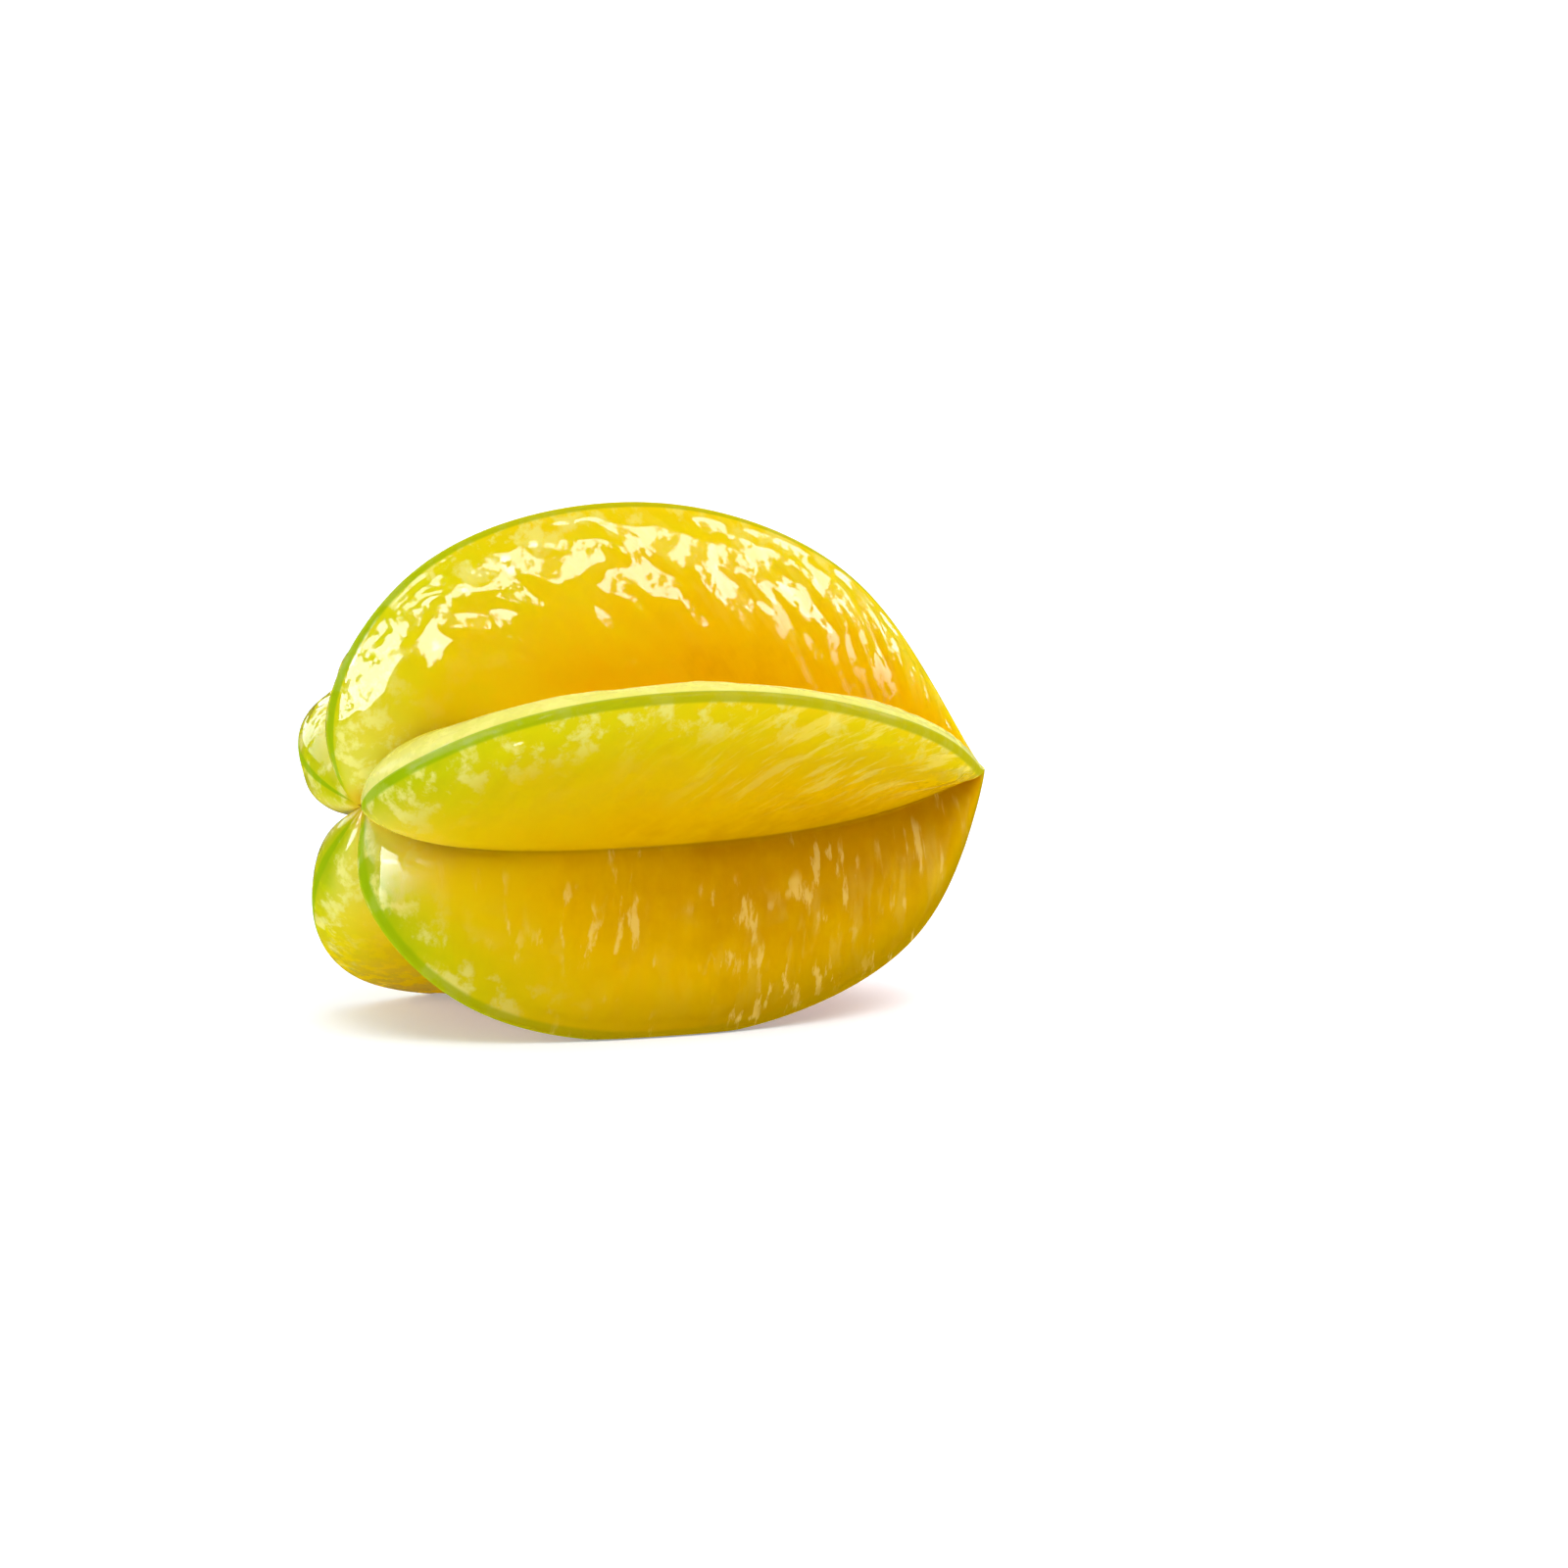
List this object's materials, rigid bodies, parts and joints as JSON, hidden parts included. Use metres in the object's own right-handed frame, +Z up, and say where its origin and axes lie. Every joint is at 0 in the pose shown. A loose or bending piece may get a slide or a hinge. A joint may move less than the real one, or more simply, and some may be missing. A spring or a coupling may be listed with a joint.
{
  "type": "star fruit",
  "caption": "Whole ripe star fruit with deep lengthwise ribs and a star-shaped cross-section, lying on two of its ribs.",
  "frame": {"origin": "on the floor below the middle of the bounding box", "axes": "+X along the fruit from its stem end to its nose, +Z up, -Y towards the side with one rib in the middle"},
  "size_m": [0.109, 0.0788, 0.077],
  "materials": {
    "skin": "glossy waxy fruit skin"
  },
  "bodies": {
    "root": {"fruit": "skin"}
  },
  "joints": []
}
